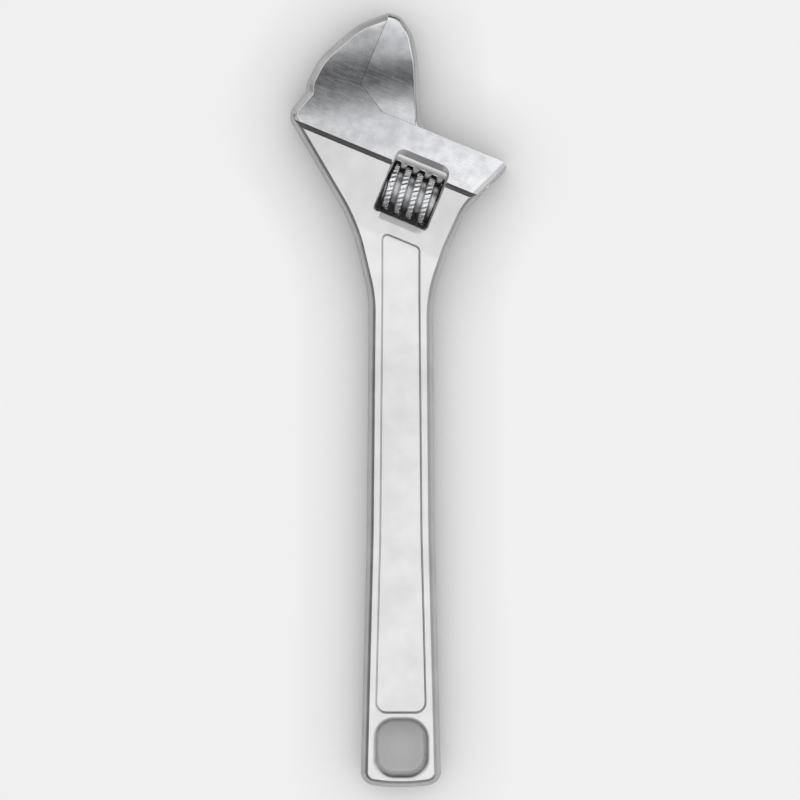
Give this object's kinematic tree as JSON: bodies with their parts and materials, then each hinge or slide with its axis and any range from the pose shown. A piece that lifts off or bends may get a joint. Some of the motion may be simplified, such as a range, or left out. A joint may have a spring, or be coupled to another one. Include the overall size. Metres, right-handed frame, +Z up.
{
  "type": "adjustable wrench",
  "caption": "Adjustable wrench with a sliding jaw driven by a knurled worm, a recessed panel along its forged handle and a rounded hanging hole.",
  "frame": {"origin": "under the middle of the whole part as it lies flat, on the surface it lies on, jaws closed", "axes": "+Y along the handle towards the jaws, +X across the handle on the sliding jaw's side, +Z up through the thickness"},
  "size_m": [0.085, 0.3038, 0.02],
  "materials": {
    "satin_chrome": "nickel-chrome plated forging, bead-blasted satin with ground jaw faces",
    "polished_chrome": "nickel-chrome plated, ground and polished",
    "plated_worm": "turned and knurled steel, thin plating",
    "plain_steel": "turned steel, lightly oiled",
    "spring_steel": "drawn spring wire"
  },
  "bodies": {
    "body": {"body": "satin_chrome", "worm_pin": "plain_steel", "worm_spring": "spring_steel"},
    "jaw": {"moving_jaw": "polished_chrome"},
    "worm": {"worm": "plated_worm"}
  },
  "joints": [
    {"name": "worm_spin", "type": "hinge", "parent": "body", "child": "worm", "pos_m": [0.00501, 0.0805, 0.01], "axis": [-0.9239, 0.3827, 0], "range_deg": [0, 2595]},
    {"name": "jaw_slide", "type": "slide", "parent": "body", "child": "jaw", "axis": [0.9239, -0.3827, 0], "range_m": [0, 0.036]}
  ],
  "couplings": [
    {"joint": "worm_spin", "follows": "jaw_slide", "rad_per_m": 1256.6}
  ]
}
